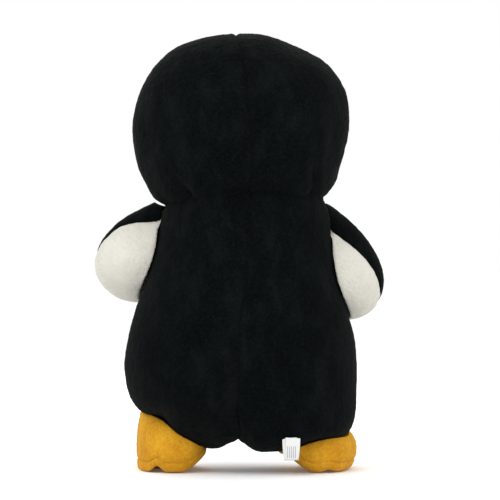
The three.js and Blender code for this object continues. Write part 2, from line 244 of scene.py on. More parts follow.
def torso_point(u, v):
    """The torso's plain form: a rounded seat, straight-sided rings above it, and a flat top in the head."""
    turn = 2 * math.pi * u
    power = base_power(np.cos(turn), np.sin(turn))
    angle = np.clip(v / SEAT_SHARE, 0, 1) * math.pi / 2
    reach = np.sin(angle) ** (2 / power)
    low_z = TORSO_Z[0] - BASE["height"] * np.maximum(np.cos(angle), 0) ** (2 / power)
    share = np.clip((v - SEAT_SHARE) / (SIDE_SHARE - SEAT_SHARE), 0, 1)
    z = np.where(v < SEAT_SHARE, low_z, mix(TORSO_Z[0], TORSO_Z[-1], share))
    close = np.clip((1 - v) / (1 - SIDE_SHARE), 0, 1)
    shrink = np.where(v < SEAT_SHARE, reach, close)
    width = curve(z, TORSO_Z, TORSO_WIDTH) * shrink
    depth = curve(z, TORSO_Z, TORSO_DEPTH) * shrink
    x = torso_lean(z) + width * np.cos(turn)
    return np.stack([x, torso_middle(z) + depth * np.sin(turn), z], 1)


def torso_field(p):
    """About how far, in millimetres, each point is outside the torso."""
    x = (p[:, 0] - torso_lean(p[:, 2])) / curve(p[:, 2], TORSO_Z, TORSO_WIDTH)
    y = (p[:, 1] - torso_middle(p[:, 2])) / curve(p[:, 2], TORSO_Z, TORSO_DEPTH)
    power = base_power(x, y)
    drop = np.maximum(TORSO_Z[0] - p[:, 2], 0) / BASE["height"]
    size = (np.hypot(x, y) ** power + drop**power) ** (1 / power)
    return np.maximum((size - 1) * TORSO_RADIUS + foot_hollow(p), p[:, 2] - TORSO_TOP)


def field_slope(field, p, step=0.5):
    """The direction in which a field grows fastest."""
    slope = np.stack([field(p + d) - field(p - d) for d in np.eye(3) * step], 1)
    return slope / np.maximum(np.linalg.norm(slope, axis=1), 1e-9)[:, None]


def pressed(points, field, clearance, down=0.0):
    """Points that a neighbour presses out of itself, to that clearance. down steers them downward."""
    moved = points.copy()
    for _ in range(8):
        depth = clearance - field(moved)
        inside = depth > 0
        if not inside.any():
            break
        slope = field_slope(field, moved[inside])
        way = slope - np.array([0, 0, down])
        way /= np.linalg.norm(way, axis=1)[:, None]
        step = depth[inside] / np.maximum((way * slope).sum(1), 0.4)
        moved[inside] += way * step[:, None]
    return moved


# ---- meshes -------------------------------------------------------------------------------------
def form_mesh(points, faces):
    bm = bmesh.new()
    verts = [bm.verts.new(p) for p in points]
    for face in faces:
        bm.faces.new([verts[i] for i in face])
    bm.normal_update()
    return bm


def coordinates(bm):
    return np.array([v.co for v in bm.verts], float)


def cut_along(bm, field):
    """Adds edges along the line where the field is zero."""
    bm.verts.index_update()
    values = field(coordinates(bm))
    on_line = set()
    crossing = []
    for edge in bm.edges:
        a, b = edge.verts
        fa, fb = values[a.index], values[b.index]
        if fa * fb >= 0:
            continue
        share = fa / (fa - fb)
        near = a if share < 0.5 else b
        if min(share, 1 - share) < 0.25:
            values[near.index] = 0
            near.co = a.co.lerp(b.co, share)
            on_line.add(near)
        else:
            crossing.append((edge, a, b))
    for edge, a, b in crossing:
        fa, fb = values[a.index], values[b.index]
        if fa * fb < 0:
            on_line.add(bmesh.utils.edge_split(edge, a, fa / (fa - fb))[1])
    bmesh.ops.connect_verts(bm, verts=list(on_line))
    bm.normal_update()


def vertex_normals(bm):
    bm.normal_update()
    return np.array([v.normal for v in bm.verts], float)


def set_coordinates(bm, points):
    for v, p in zip(bm.verts, points):
        v.co = p


def thickened(mesh, thickness):
    """The mesh with a second layer inside it and a rim around every edge."""
    obj = bpy.data.objects.new("cloth", mesh)
    bpy.context.scene.collection.objects.link(obj)
    solid = obj.modifiers.new("cloth", "SOLIDIFY")
    solid.thickness = thickness
    solid.offset = -1
    solid.use_even_offset = False
    graph = bpy.context.evaluated_depsgraph_get()
    made = bpy.data.meshes.new_from_object(obj.evaluated_get(graph))
    bpy.data.objects.remove(obj)
    return made


def piece(name, bm, material, thickness=CLOTH):
    """One placed object from a form in millimetres. Open cloth gets its thickness."""
    mesh = bpy.data.meshes.new(name)
    bm.to_mesh(mesh)
    mesh.transform(Matrix.Translation(Vector(CENTRE)) @ Matrix.Scale(MM, 4))
    if thickness:
        mesh = thickened(mesh, thickness * MM)
    mesh.name = name
    mesh.polygons.foreach_set("use_smooth", [True] * len(mesh.polygons))
    mesh.materials.clear()
    mesh.materials.append(material)
    obj = bpy.data.objects.new(name, mesh)
    bpy.context.scene.collection.objects.link(obj)
    return obj


def panels(bm, rest, names_of):
    """One bmesh for each panel name. names_of says which panel each face centre, at rest, is in."""
    centres = np.array([rest[[v.index for v in f.verts]].mean(0) for f in bm.faces])
    labels = names_of(centres)
    made = {}
    for name in sorted(set(labels) - {""}):
        part = bm.copy()
        part.faces.ensure_lookup_table()
        gone = [part.faces[i] for i in range(len(labels)) if labels[i] != name]
        bmesh.ops.delete(part, geom=gone, context="FACES")
        made[name] = part
    return made


# ---- materials ----------------------------------------------------------------------------------
def new_material(name):
    material = bpy.data.materials.new(name)
    material.use_nodes = True
    tree = material.node_tree
    shader = tree.nodes["Principled BSDF"]
    return material, tree, shader


def add_node(tree, kind, **values):
    node = tree.nodes.new(kind)
    for key, value in values.items():
        setattr(node, key, value)
    return node


def noise_node(tree, where, scale, detail=3.0, roughness=0.55):
    node = add_node(tree, "ShaderNodeTexNoise")
    node.inputs["Scale"].default_value = scale
    node.inputs["Detail"].default_value = detail
    node.inputs["Roughness"].default_value = roughness
    tree.links.new(where, node.inputs["Vector"])
    return node.outputs["Fac"]


def stretched(tree, where, scale):
    mapping = add_node(tree, "ShaderNodeMapping")
    mapping.inputs["Scale"].default_value = scale
    tree.links.new(where, mapping.inputs["Vector"])
    return mapping.outputs["Vector"]


def ramp(tree, value, stops):
    node = add_node(tree, "ShaderNodeValToRGB")
    elements = node.color_ramp.elements
    while len(elements) < len(stops):
        elements.new(0.5)
    for element, (position, colour) in zip(elements, stops):
        element.position = position
        element.color = (*colour, 1)
    tree.links.new(value, node.inputs["Fac"])
    return node.outputs["Color"]


def mixed(tree, a, b, factor, blend="MIX"):
    node = add_node(tree, "ShaderNodeMix", data_type="RGBA", blend_type=blend)
    node.inputs[0].default_value = factor
    tree.links.new(a, node.inputs[6])
    tree.links.new(b, node.inputs[7])
    return node.outputs[2]


def bumped(tree, height, distance, strength, under=None):
    node = add_node(tree, "ShaderNodeBump")
    node.inputs["Strength"].default_value = strength
    node.inputs["Distance"].default_value = distance
    tree.links.new(height, node.inputs["Height"])
    if under is not None:
        tree.links.new(under, node.inputs["Normal"])
    return node.outputs["Normal"]


def plush(name, dark, middle, light, sheen, sheen_tint):
    """Short pile cloth: uneven dye, brushed patches, tufts and single fibres."""
    material, tree, shader = new_material(name)
    where = add_node(tree, "ShaderNodeTexCoord").outputs["Object"]
    brushed = noise_node(tree, stretched(tree, where, (1.0, 1.0, 0.55)), 55, 4.0, 0.6)
    tufts = noise_node(tree, where, 420, 2.0, 0.5)
    fibres = noise_node(tree, stretched(tree, where, (1.0, 1.0, 0.4)), 1500, 2.0, 0.6)
    patchy = ramp(tree, brushed, [(0.32, dark), (0.5, middle), (0.68, light)])
    speckled = ramp(tree, tufts, [(0.32, dark), (0.5, middle), (0.7, light)])
    tree.links.new(mixed(tree, patchy, speckled, 0.45), shader.inputs["Base Color"])
    soft = bumped(tree, brushed, 0.0012, 0.5)
    tufted = bumped(tree, tufts, 0.0011, 0.7, soft)
    tree.links.new(bumped(tree, fibres, 0.0005, 0.6, tufted), shader.inputs["Normal"])
    shader.inputs["Roughness"].default_value = 0.95
    shader.inputs["Specular IOR Level"].default_value = 0.04
    shader.inputs["Sheen Weight"].default_value = sheen
    shader.inputs["Sheen Roughness"].default_value = 0.45
    shader.inputs["Sheen Tint"].default_value = (*sheen_tint, 1)
    return material


def fibre_fill(name):
    """Loose white polyester fibre."""
    material, tree, shader = new_material(name)
    where = add_node(tree, "ShaderNodeTexCoord").outputs["Object"]
    strands = noise_node(tree, stretched(tree, where, (1.0, 3.0, 1.0)), 260, 5.0, 0.7)
    tint = ramp(tree, strands, [(0.3, (0.7, 0.7, 0.68)), (0.7, (0.9, 0.9, 0.89))])
    tree.links.new(tint, shader.inputs["Base Color"])
    tree.links.new(bumped(tree, strands, 0.002, 0.8), shader.inputs["Normal"])
    shader.inputs["Roughness"].default_value = 1.0
    return material


def moulded(name, colour, roughness, grain):
    """Moulded plastic with a fine uneven surface and a weak reflection."""
    material, tree, shader = new_material(name)
    where = add_node(tree, "ShaderNodeTexCoord").outputs["Object"]
    mottle = noise_node(tree, where, grain, 3.0, 0.5)
    tint = ramp(tree, mottle, [(0.3, tuple(0.85 * c for c in colour)), (0.7, colour)])
    tree.links.new(tint, shader.inputs["Base Color"])
    tree.links.new(bumped(tree, mottle, 0.00006, 0.3), shader.inputs["Normal"])
    shader.inputs["Roughness"].default_value = roughness
    shader.inputs["Specular IOR Level"].default_value = 0.12
    return material


def printed_satin(name):
    """White satin ribbon with a block of plain grey lines."""
    material, tree, shader = new_material(name)
    coordinate = add_node(tree, "ShaderNodeTexCoord")
    where = coordinate.outputs["Object"]
    weave = add_node(tree, "ShaderNodeTexWave", wave_type="BANDS", bands_direction="X")
    weave.inputs["Scale"].default_value = 900
    weave.inputs["Distortion"].default_value = 1.5
    tree.links.new(where, weave.inputs["Vector"])
    cloth = ramp(tree, weave.outputs["Fac"], [(0.0, (0.62, 0.62, 0.61)), (1.0, (0.74, 0.74, 0.73))])
    apart = add_node(tree, "ShaderNodeSeparateXYZ")
    tree.links.new(coordinate.outputs["Generated"], apart.inputs["Vector"])
    across = apart.outputs["X"]
    up = apart.outputs["Z"]
    rows = add_node(tree, "ShaderNodeMath", operation="PINGPONG")
    tree.links.new(across, rows.inputs[0])
    rows.inputs[1].default_value = 0.055
    line = add_node(tree, "ShaderNodeMath", operation="GREATER_THAN")
    tree.links.new(rows.outputs["Value"], line.inputs[0])
    line.inputs[1].default_value = 0.036
    bare, inked = (0, 0, 0), (1, 1, 1)
    block = ramp(tree, up, [(0.0, bare), (0.08, bare), (0.1, inked), (0.6, inked), (0.63, bare)])
    margin = ramp(tree, across, [(0.0, bare), (0.2, bare), (0.22, inked), (0.8, inked), (0.82, bare)])
    ink = add_node(tree, "ShaderNodeMath", operation="MULTIPLY")
    tree.links.new(block, ink.inputs[0])
    tree.links.new(margin, ink.inputs[1])
    printed = add_node(tree, "ShaderNodeMath", operation="MULTIPLY")
    tree.links.new(ink.outputs["Value"], printed.inputs[0])
    tree.links.new(line.outputs["Value"], printed.inputs[1])
    shade = add_node(tree, "ShaderNodeMix", data_type="RGBA")
    tree.links.new(printed.outputs["Value"], shade.inputs[0])
    tree.links.new(cloth, shade.inputs[6])
    shade.inputs[7].default_value = (0.3, 0.31, 0.33, 1)
    tree.links.new(shade.outputs[2], shader.inputs["Base Color"])
    tree.links.new(bumped(tree, weave.outputs["Fac"], 0.00005, 0.4), shader.inputs["Normal"])
    shader.inputs["Roughness"].default_value = 0.5
    shader.inputs["Sheen Weight"].default_value = 0.2
    return material


BLACK = plush(
    "black plush",
    dark=(0.0006, 0.0011, 0.0012),
    middle=(0.0017, 0.0027, 0.0029),
    light=(0.005, 0.0062, 0.0062),
    sheen=0.012,
    sheen_tint=(0.95, 1.0, 0.98),
)
WHITE = plush(
    "white plush",
    dark=(0.52, 0.508, 0.45),
    middle=(0.57, 0.556, 0.496),
    light=(0.62, 0.606, 0.545),
    sheen=0.08,
    sheen_tint=(1, 1, 0.95),
)
YELLOW = plush(
    "yellow plush",
    dark=(0.44, 0.19, 0.01),
    middle=(0.56, 0.27, 0.016),
    light=(0.66, 0.36, 0.028),
    sheen=0.08,
    sheen_tint=(1, 0.8, 0.4),
)
FILL = fibre_fill("fibre filling")
EYE_BLACK = moulded("gloss black", (0.006, 0.006, 0.007), 0.06, 300)
NATURAL = moulded("natural plastic", (0.78, 0.78, 0.74), 0.45, 500)

# ---- sewing lines -------------------------------------------------------------------------------
FACE_OUTLINE = mirrored(
    [(0, 225)]
    + bezier((58, 225), (73, 270), (73, 300))
    + bezier((73, 300), (73, 336), (56, 360), (34, 360))
    + bezier((34, 360), (8, 360), (0, 330))
    + [(0, 330)]
)
BELLY_OUTLINE = mirrored(
    bezier((0, 44), (46, 44), (66, 70), (66, 105))
    + bezier((66, 105), (66, 165), (55, 185), (55, 275))
    + [(55, 275), (0, 275)]
)


def front_only(p, distance):
    """A field that is inside its outline only in front of the toy's middle."""
    return np.where(p[:, 1] < 0, distance, -60.0)


def face_line(p):
    return front_only(p, outline_field(p[:, [0, 2]], FACE_OUTLINE))


def belly_line(p):
    return front_only(p, outline_field(p[:, [0, 2]], BELLY_OUTLINE))


def seam_x(z, line):
    """How far to the penguin's left a seam runs at each height."""
    heights, places = zip(*line)
    return curve(z, heights, places)


def head_middle(p):
    """Distance from the seam over the crown. In front it runs straight down to the face."""
    behind = smoothstep(p[:, 1], -30, 0)
    return p[:, 0] - seam_x(p[:, 2], HEAD_SEAM) * mix(smoothstep(p[:, 2], 335, 399), 1, behind)


def torso_middle_line(p):
    return p[:, 0] - seam_x(p[:, 2], TORSO_SEAM)


# ---- surface detail -----------------------------------------------------------------------------
def crease(distance, depth, width):
    """How far a seam draws cloth in, at a distance from its line."""
    return depth * np.exp(-np.abs(distance) / width)


def back_seam(distance):
    """A flat plush seam: the cloth dips at the line and stands a little proud on both sides."""
    away = np.abs(distance)
    return 0.7 * np.exp(-(((away - 3.6) / 2.2) ** 2)) - 1.2 * np.exp(-away / 1.5)


def puckers(p, distance, size, height, reach, seed):
    """Small gathers that run away from a seam."""
    return height * np.exp(-((distance / reach) ** 2)) * lumps(p, size, seed)


def dents(p, table):
    """Broad soft dents, negative, and bulges, positive."""
    height = np.zeros(len(p))
    for (x, z), radius, out in table:
        away = np.hypot(p[:, 0] - x, p[:, 2] - z)
        height += out * np.exp(-((away / radius) ** 2))
    return height


def stuffed(p, seed, height=1.0):
    """The soft unevenness of hand stuffing."""
    broad = 1.3 * lumps(p, 62, seed)
    small = 0.55 * lumps(p, 21, seed + 1)
    fine = 0.22 * lumps(p, 7, seed + 2)
    return height * (broad + small + fine) + pile(p, seed + 3)


def pile(p, seed):
    """The crushed pile of the plush."""
    return 0.26 * lumps(p, (5, 5, 7), seed) + 0.3 * lumps(p, 2.7, seed + 1)


def head_relief(p):
    """Height of the head's cloth over its plain form."""
    neck = torso_field(p)
    face = face_line(p)
    middle = head_middle(p)
    behind = np.where(face > 0, 0.0, 1.0)
    height = stuffed(p, 3) + dents(p, HEAD_DENTS)
    height += back_seam(middle) * behind
    height += puckers(p, middle, (30, 30, 9), 0.9, 12, 5) * behind
    height -= crease(face, 2.4, 3.2)
    height += puckers(p, face, 9, 0.8, 11, 6)
    height -= crease(np.maximum(neck, 0), 4.5, 5.0)
    height += puckers(p, np.maximum(neck, 0), (8, 20, 26), 1.7, 24, 7)
    for (x0, z0), (x1, z1) in DARTS:
        away = to_segments(p[:, [0, 2]], [(x0, z0), (x1, z1)])
        along = smoothstep(p[:, 2], z1 + 6, z0 + 6)
        height -= np.where(p[:, 1] > 0, crease(away, 2.4, 2.6) * along, 0)
        height += np.where(p[:, 1] > 0, 1.4 * np.exp(-(((away - 9) / 6) ** 2)) * along, 0)
    crown = np.hypot(middle, p[:, 2] - 401)
    height -= 1.0 * np.exp(-((crown / 9) ** 2)) * behind
    return height


def torso_relief(p):
    """Height of the torso's cloth over its plain form."""
    neck = head_field(p)
    belly = belly_line(p)
    middle = torso_middle_line(p)
    outside = np.where(belly > 0, 0.0, 1.0)
    height = stuffed(p, 11, 0.9)
    height += back_seam(middle) * outside
    height += puckers(p, middle, (26, 26, 8), 0.6, 10, 12) * outside
    height -= crease(belly, 2.4, 3.2)
    height += puckers(p, belly, 9, 0.8, 11, 13)
    height -= crease(np.maximum(neck, 0), 4.0, 4.5)
    height += puckers(p, np.maximum(neck, 0), (9, 20, 26), 1.2, 22, 14)
    seat = 1 - smoothstep(p[:, 2], 40, 120)
    seat = seat * np.where(p[:, 1] > -10, 1, 1 - smoothstep(p[:, 2], 40, 50))
    height -= 10 * seat * np.exp(-((middle / 12) ** 2))
    return height - foot_hollow(p)


# ---- head and torso -----------------------------------------------------------------------------
def cut_form(point, around, along, lines):
    """A closed form as a mesh, cut along the given sewing lines."""
    bm = form_mesh(*closed_grid(point, around, along))
    for line in lines:
        cut_along(bm, line)
    bm.verts.index_update()
    return bm


def raised(bm, relief):
    """Moves each vertex along its normal by the relief, and returns where it was."""
    rest = coordinates(bm)
    set_coordinates(bm, rest + vertex_normals(bm) * relief(rest)[:, None])
    return rest


def neck_blend(obj):
    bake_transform(obj)


def head_panels():
    hem = lambda p: torso_field(p) + 9
    bm = cut_form(head_point, *HEAD_GRID, [head_middle, face_line, hem])
    rest = raised(bm, head_relief)

    def panel(p):
        side = np.where(head_middle(p) > 0, "head_back_left", "head_back_right")
        name = np.where(face_line(p) > 0, "face_panel", side)
        return np.where(hem(p) > 0, name, "")

    for name, part in panels(bm, rest, panel).items():
        obj = piece(f"{name}_cloth", part, WHITE if name == "face_panel" else BLACK)
        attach(obj, "head")
        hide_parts(name)


def torso_panels():
    hem = lambda p: head_field(p) + 9
    bm = cut_form(torso_point, *TORSO_GRID, [torso_middle_line, belly_line, hem])
    rest = raised(bm, torso_relief)

    def panel(p):
        side = np.where(torso_middle_line(p) > 0, "torso_back_left", "torso_back_right")
        name = np.where(belly_line(p) > 0, "belly_panel", side)
        return np.where(hem(p) > 0, name, "")

    for name, part in panels(bm, rest, panel).items():
        obj = piece(f"{name}_cloth", part, WHITE if name == "belly_panel" else BLACK)
        neck_blend(obj)
        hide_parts(name)


def filling(name, point, inset, extra, around=72, along=44):
    """A lumpy core inside a form. extra moves its points once they are inset."""
    bm = form_mesh(*closed_grid(point, around, along))
    rest = coordinates(bm)
    moved = rest - vertex_normals(bm) * (inset(rest) + 1.2 * (1 + lumps(rest, 16, 31)))[:, None]
    set_coordinates(bm, extra(moved))
    obj = piece(f"{name}_fibre", bm, FILL, thickness=0)
    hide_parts(name)
    return obj


def ball_limit(outside, radius):
    """Keeps points outside, or inside, the ball that the head nods on."""
    centre = np.array([0, 0, NECK_Z])

    def limited(p):
        away = p - centre
        size = np.linalg.norm(away, axis=1)
        wrong = (size < radius) if outside else (size > radius) & (p[:, 2] > NECK_Z)
        share = np.where(wrong, radius / np.maximum(size, 1e-6), 1.0)
        return centre + away * share[:, None]

    return limited


def body_fillings():
    """The head's and the torso's fibre, each thinner where a seam draws the cloth in."""
    under_head = lambda p: CLOTH + 2.4 - np.minimum(head_relief(p), 0)
    under_torso = lambda p: CLOTH + 2.4 - np.minimum(torso_relief(p), 0)
    head_core = filling("head_stuffing", head_point, under_head, ball_limit(True, SOCKET_RADIUS))
    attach(head_core, "head")
    torso_core = filling("torso_stuffing", torso_point, under_torso, ball_limit(False, BALL_RADIUS))
    neck_blend(torso_core)


# ---- face ---------------------------------------------------------------------------------------
def turned_form(outline, around=48):
    """A lathed form about +Z from (radius, height) points; the ends lie on the axis."""
    count = len(outline) - 1
    radii, heights = zip(*outline)

    def point(u, v):
        i = np.rint(v * count).astype(int)
        r = np.array(radii)[i]
        return np.stack([r * np.cos(2 * math.pi * u), r * np.sin(2 * math.pi * u), np.array(heights)[i]], 1)

    return closed_grid(point, around, count)


def eye_pieces():
    """Safety eyes, each a dome with a stem, square to the face, and the washers that hold them."""
    width, depth = HEAD["half"]
    radius, stem, length = EYE["radius"], EYE["stem"], EYE["length"]
    quarter = np.linspace(0, math.pi / 2, 14)
    dome = [(radius * max(math.cos(a), 0), 0.4 + EYE["dome"] * math.sin(a)) for a in quarter]
    shoulder = [(radius - 0.9, -1.2), (radius - 0.1, -0.6)]
    outline = [(0, -length), (stem, -length), (stem, -1.2), *shoulder, *dome]
    for side, name in ((1, "left"), (-1, "right")):
        x, z = side * EYE["out"], EYE["height"]
        dz = z - HEAD["widest"]
        flat = (1 - (dz / HEAD["above"]) ** HEAD["crown"]) ** (2 / HEAD["crown"])
        y = -depth * math.sqrt(flat - (x / width) ** 2)
        out = Vector((x / width**2, y / depth**2, dz / HEAD["above"] ** 2)).normalized()
        bm = form_mesh(*turned_form(outline))
        turn = Vector((0, 0, 1)).rotation_difference(out).to_matrix().to_4x4()
        bm.transform(Matrix.Translation((x, y, z)) @ turn)
        obj = piece(f"eye_{name}_dome", bm, EYE_BLACK, thickness=0)
        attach(obj, "head")
        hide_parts(f"eye_{name}")
        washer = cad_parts[f"eye_washer_{name}"]
        washer.data.materials.clear()
        washer.data.materials.append(NATURAL)


def beak_point(u, v):
    """The beak's plain form: a flat egg with a drooping tip, reaching into the head."""
    turn = 2 * math.pi * u
    rise = math.pi * (v - 0.5)
    reach = np.maximum(np.cos(rise), 0) ** 0.9
    droop = -BEAK["droop"] * smoothstep(np.sin(rise), 0.2, 1.0)
    x = BEAK["half"] * reach * np.cos(turn)
    y = BEAK["y"] - BEAK["reach"] * np.sin(rise)
    return np.stack([x, y, BEAK["z"] + droop + BEAK["thick"] * reach * np.sin(turn)], 1)


def beak_pieces():
    """Two cloth halves around one filling, cut where they enter the face and along the mouth."""
    root = lambda p: head_field(p) + 1.5

    def mouth(p):
        """Height over the mouth line, which drops towards the tip."""
        drop = BEAK["droop"] * smoothstep(BEAK["y"] - p[:, 1], 7, BEAK["reach"])
        return p[:, 2] - BEAK["z"] + 1 + drop

    bm = cut_form(beak_point, 120, 90, [mouth, root])

    def relief(p):
        return 0.5 * stuffed(p, 41) - crease(mouth(p), 1.9, 2.2) - crease(np.maximum(root(p), 0), 2.2, 2.4)

    rest = raised(bm, relief)

    def panel(p):
        return np.where(root(p) > 0, np.where(mouth(p) > 0, "beak_upper", "beak_lower"), "")

    for name, part in panels(bm, rest, panel).items():
        obj = piece(f"{name}_cloth", part, YELLOW, thickness=1.8)
        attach(obj, "head")
        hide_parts(name)
    forward = np.array([0.0, -1.0, 0.0])
    off_face = lambda p: lifted_off(p, head_field, forward, 2.5)
    core = filling("beak_stuffing", beak_point, lambda p: 3.6, off_face, 36, 24)
    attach(core, "head")


# ---- flippers and feet --------------------------------------------------------------------------
# Half sizes, how much fuller the tip is than the sewn end, and how far the form reaches into the body.
FLIPPER = {"length": 60.5, "width": 43.5, "dark": 29.0, "white": 42.0, "egg": 0.34, "root": 11.0}
# at: the sewn end. along and across: the way the flipper lies. hinge: where the cloth starts to bend.
# seam: how far the line between white and black climbs, and between which distances from the sewn end.
FLIPPERS = {
    "left": {
        "at": (44, -20, 239.5),
        "along": (0.775, -0.1, -0.68),
        "across": (0.4, 0.8, 0.4),
        "hinge": (74, -20, 246),
        "seam": {"from": -10.0, "rise": 23.0, "start": 18.0, "end": 70.0},
    },
    "right": {
        "at": (-60.5, -22, 238),
        "along": (-0.515, 0, -0.846),
        "across": (-0.36, 0.9, 0.24),
        "hinge": (-73, -20, 247),
        "seam": {"from": -7.0, "rise": 14.0, "start": 15.0, "end": 85.0},
    },
}


def flipper_frame(name):
    """Rows: along the flipper, across it, and out of its dark side."""
    pose = FLIPPERS[name]
    along = Vector(pose["along"]).normalized()
    dark = along.cross(Vector(pose["across"])).normalized()
    if name == "right":
        dark.negate()
    return np.array([along, dark.cross(along), dark])


def flipper_point(u, v):
    """A flipper's plain form, as x along it, y across it and z out of its dark side."""
    turn = 2 * math.pi * u
    rise = math.pi * (v - 0.5)
    reach = np.maximum(np.cos(rise), 0) ** 0.85
    along = FLIPPER["length"] * (1 + np.cos(turn) * reach) - FLIPPER["root"]
    across = FLIPPER["width"] * np.sin(turn) * (1 + FLIPPER["egg"] * np.cos(turn)) * reach
    thick = np.where(rise > 0, FLIPPER["dark"], FLIPPER["white"])
    return np.stack([along, across, thick * np.sin(rise)], 1)


def nodded_head_field(p):
    """The head's field when the head nods as far forward as it goes."""
    y, z = p[:, 1], p[:, 2] - NECK_Z
    cos, sin = math.cos(MOST_NOD), math.sin(MOST_NOD)
    back = np.stack([p[:, 0], y * cos + z * sin, NECK_Z + z * cos - y * sin], 1)
    return head_field(back)


def below_cheek(p, gap):
    """A limb pressed out of the cheek, even when the head nods."""
    return pressed(pressed(p, head_field, gap), nodded_head_field, gap - 1)


def lifted_off(points, field, way, clearance):
    """Points moved one way until each is that far out of a neighbour."""
    moved = points.copy()
    for _ in range(10):
        depth = clearance - field(moved)
        inside = depth > 0.01
        if not inside.any():
            break
        slope = field_slope(field, moved[inside])
        step = depth[inside] / np.maximum((slope * way).sum(1), 0.35)
        moved[inside] += way * step[:, None]
    return moved


def flipper_pieces(name):
    """Black and white cloth around one filling, cut where it is sewn to the body and along its seam."""
    axes = flipper_frame(name)
    at = np.array(FLIPPERS[name]["at"], float)
    seed = 51 if name == "left" else 61
    line = FLIPPERS[name]["seam"]

    def seam(p):
        """The seam wanders from the white side at the root to the dark side at the tip."""
        return p[:, 2] - line["from"] - line["rise"] * smoothstep(p[:, 0], line["start"], line["end"])

    def sewn_end(p):
        """Positive on the cloth outside the seam where the flipper meets the body."""
        return np.maximum(torso_field(at + p @ axes) + 3.0, p[:, 0] - 27)

    def placed(p, rest, gap, root_gap):
        """The flipper lies flat where it rests on the body. Its sewn end runs just into the body's cloth."""
        clear = gap + 0.25 * np.maximum(seam(rest), 0)
        clear = mix(root_gap, clear, smoothstep(rest[:, 0], 18, 32))
        return lifted_off(below_cheek(at + p @ axes, gap), torso_field, axes[2], clear)

    def tucked(p, rest):
        """The sewn edge is drawn in until it runs into the body's cloth."""
        near = 1 - smoothstep(sewn_end(rest), 0, 7)
        out = np.maximum(torso_field(p) + 1.5, 0)
        return p - field_slope(torso_field, p) * (out * near)[:, None]

    bm = cut_form(flipper_point, 150, 90, [seam, sewn_end])
    local = coordinates(bm)
    height = stuffed(local, seed, 0.9) - crease(seam(local), 2.2, 2.8)
    height = height + puckers(local, seam(local), 9, 0.9, 10, seed + 5)
    shaped = local + vertex_normals(bm) * height[:, None]
    set_coordinates(bm, tucked(placed(shaped, local, 1.8, -1.5), local))

    def fit(obj, node):
        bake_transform(obj)
        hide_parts(node)

    def panel(p):
        side = np.where(seam(p) > 0, "outer", "inner")
        return np.where(sewn_end(p) > 0, side, "")

    for side, part in panels(bm, local, panel).items():
        obj = piece(f"flipper_{name}_{side}_cloth", part, BLACK if side == "outer" else WHITE)
        fit(obj, f"flipper_{name}_{side}")

    def settle(p):
        """The filling is packed away from the sewn end."""
        past = p[:, 0] - 26
        clear = np.column_stack([26 + np.maximum(past, 0.15 * past), p[:, 1:]])
        return placed(clear, clear, 6.0, 6.0)

    core = filling(f"flipper_{name}_stuffing", flipper_point, lambda p: 6.5, settle, 56, 32)
    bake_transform(core)


FOOT = {"length": 58.0, "seam": 19.0, "toe_top": 12.0, "below": 26.0}
# cleft: a groove up from the sole, at a distance from the middle, and its height. lift: inside which distance
# the sole rises, and how far. instep: the top's height over the seam. side: small makes the flanks steep.
FEET = {
    "left": {
        "x": 64.5,
        "half": 31.5,
        "turn": 8.0,
        "ankle": (64, 30, 38),
        "cleft": (76.0, 5.5),
        "lift": (53.0, 13.0),
        "instep": 38.0,
        "side": 0.12,
    },
    "right": {
        "x": -71.0,
        "half": 34.5,
        "turn": -8.0,
        "ankle": (-72, 30, 29),
        "cleft": (79.0, 2.0),
        "lift": (66.0, 22.0),
        "instep": 24.0,
        "side": 0.7,
    },
}


def foot_point(u, v, pose):
    """A foot's plain form: three lobes in front, a low toe and a high instep."""
    turn = 2 * math.pi * u
    rise = math.pi * (v - 0.5)
    reach = np.maximum(np.cos(rise), 0) ** 0.7
    wide = np.maximum(np.cos(rise), 0) ** pose["side"]
    from_toe = np.degrees(np.arctan2(np.cos(turn), -np.sin(turn)))
    lobes = 1 - 0.17 * np.exp(-(((np.abs(from_toe) - 21) / 8) ** 2))
    length = FOOT["length"]
    x = pose["half"] * np.sign(np.cos(turn)) * np.abs(np.cos(turn)) ** 0.8 * wide * lobes
    y = length * np.sign(np.sin(turn)) * np.abs(np.sin(turn)) ** 0.85 * reach * lobes
    top = mix(pose["instep"], FOOT["toe_top"], smoothstep(-y, 0, length))
    up = np.where(rise > 0, top * np.sin(rise), -FOOT["below"] * np.abs(np.sin(rise)) ** 0.8)
    return np.stack([x, y, FOOT["seam"] + up], 1)


def on_floor(p, gap=0.0):
    """Flattens whatever would be under the floor."""
    z = p[:, 2]
    soft = np.where(z < gap + 3, gap + 3 * np.exp(np.minimum(z - gap - 3, 0) / 3), z)
    return np.column_stack([p[:, :2], soft])


